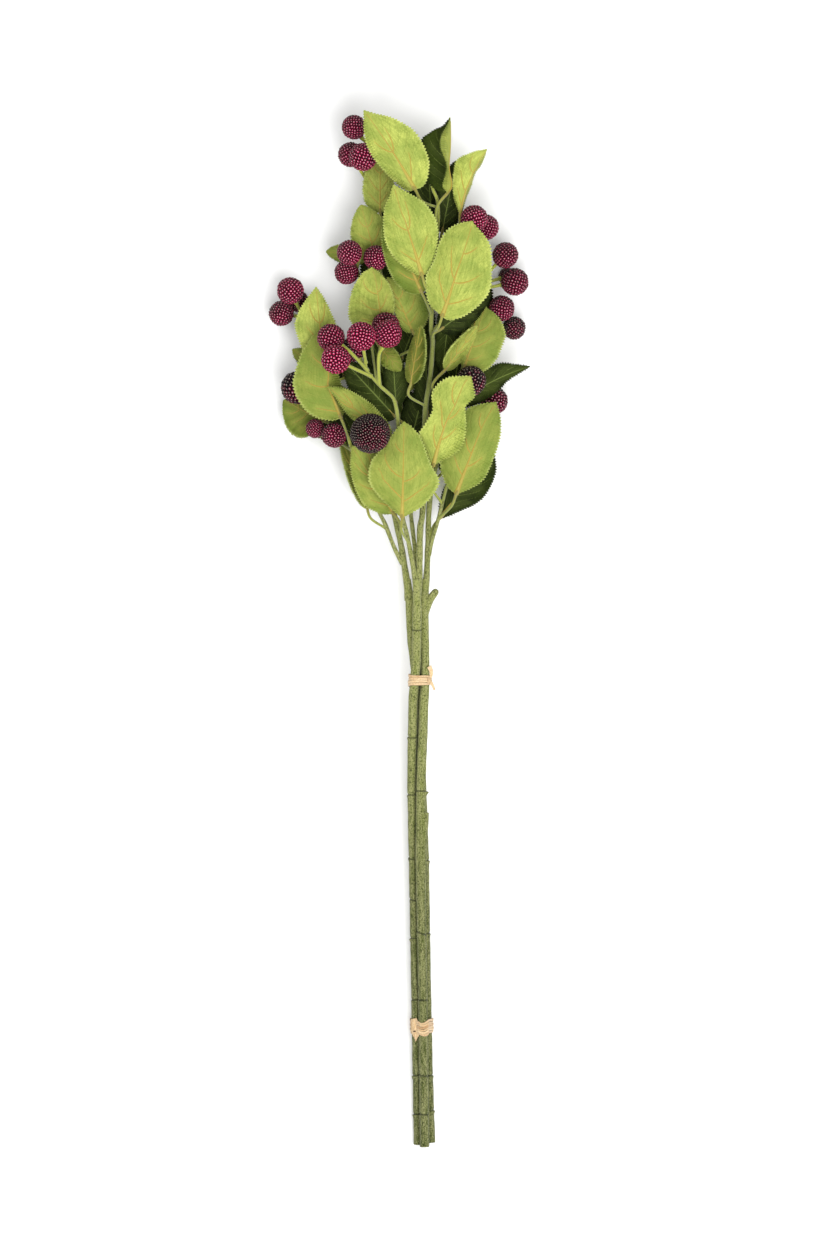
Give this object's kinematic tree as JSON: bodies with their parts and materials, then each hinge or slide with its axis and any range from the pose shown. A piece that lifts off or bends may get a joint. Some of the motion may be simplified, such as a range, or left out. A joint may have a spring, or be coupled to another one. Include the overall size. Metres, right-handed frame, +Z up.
{
  "type": "bramble fruit branch",
  "caption": "Tied bunch of cut leafy stems with round beaded berries in clusters, lying down for display, held by raffia ties.",
  "frame": {"origin": "on the surface that the bunch lies on, under the middle of its outline", "axes": "+Y from the cut ends to the leafy tips, +Z up from the surface, +X to the right when seen from above with the tips away from the viewer"},
  "size_m": [0.1731, 0.6852, 0.0793],
  "materials": {
    "foliage": "soft, flocked, lightly veined",
    "berry": "beaded, satin",
    "raffia": "matt, fibrous"
  },
  "bodies": {
    "root": {"leafy_stem_left": "foliage", "leafy_stem_middle": "foliage", "leafy_stem_right": "foliage", "berry_crown_1": "berry", "berry_crown_2": "berry", "berry_crown_3": "berry", "berry_upper_left_1": "berry", "berry_upper_left_2": "berry", "berry_upper_left_3": "berry", "berry_outer_left_1": "berry", "berry_outer_left_2": "berry", "berry_outer_left_3": "berry", "berry_front_1": "berry", "berry_front_2": "berry", "berry_front_3": "berry", "berry_front_4": "berry", "berry_front_5": "berry", "berry_front_6": "berry", "berry_upper_right_1": "berry", "berry_upper_right_2": "berry", "berry_outer_right_1": "berry", "berry_outer_right_2": "berry", "berry_outer_right_3": "berry", "berry_outer_right_4": "berry", "berry_outer_right_5": "berry", "berry_inner_left": "berry", "berry_low_left_1": "berry", "berry_low_left_2": "berry", "berry_large": "berry", "berry_inner_right_1": "berry", "berry_inner_right_2": "berry", "berry_back_1": "berry", "berry_back_2": "berry", "tie_upper": "raffia", "tie_lower": "raffia"}
  },
  "joints": []
}
